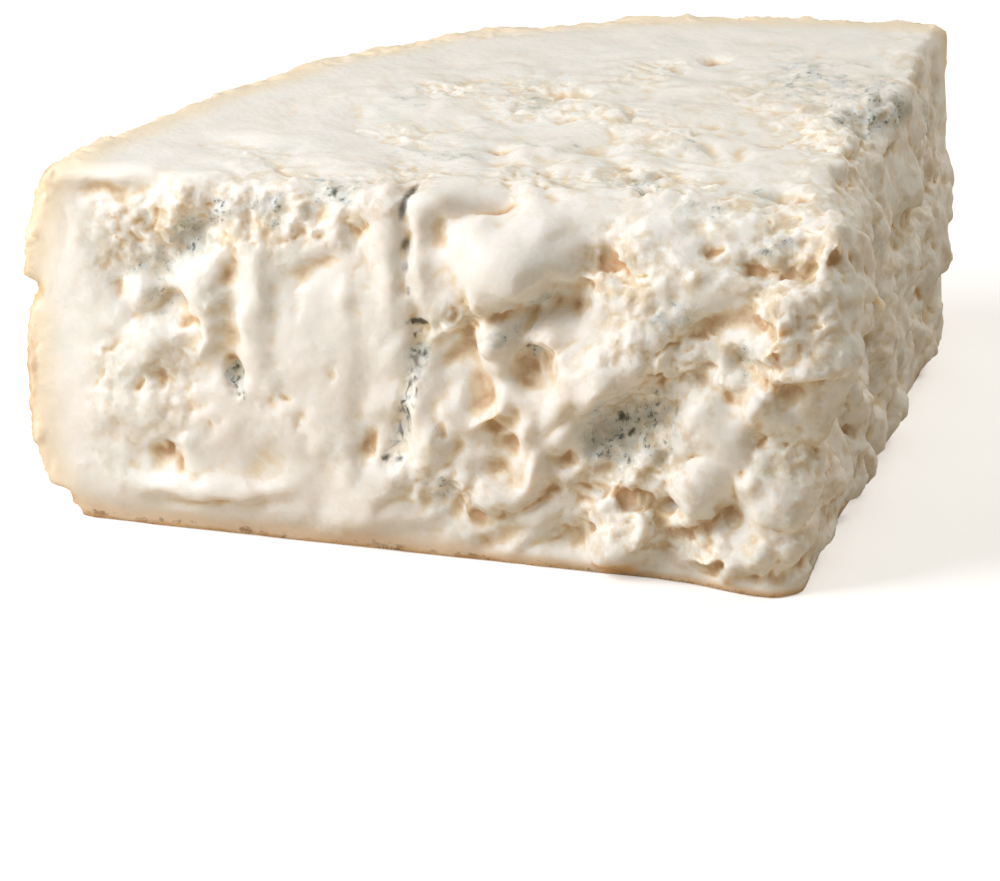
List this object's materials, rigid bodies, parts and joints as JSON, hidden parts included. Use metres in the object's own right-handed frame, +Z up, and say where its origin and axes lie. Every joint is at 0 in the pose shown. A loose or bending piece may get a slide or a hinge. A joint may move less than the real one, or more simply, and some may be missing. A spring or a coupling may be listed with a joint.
{
  "type": "gorgonzola cheese wedge",
  "caption": "Soft blue cheese wedge cut from a wheel: creamy top cut, two craggy veined side cuts, thin rind on the curved back and flat base.",
  "frame": {"origin": "on the flat base, on the wedge's middle line, 78 mm from the plumb line of the tip", "axes": "+Z up out of the base, +Y from the tip towards the rind, +X across the wedge along its longest side"},
  "size_m": [0.2137, 0.1693, 0.0748],
  "materials": {
    "blue_cheese_paste": "moist, semi-matt cream-coloured paste"
  },
  "bodies": {
    "root": {"cheese_wedge": "blue_cheese_paste"}
  },
  "joints": []
}
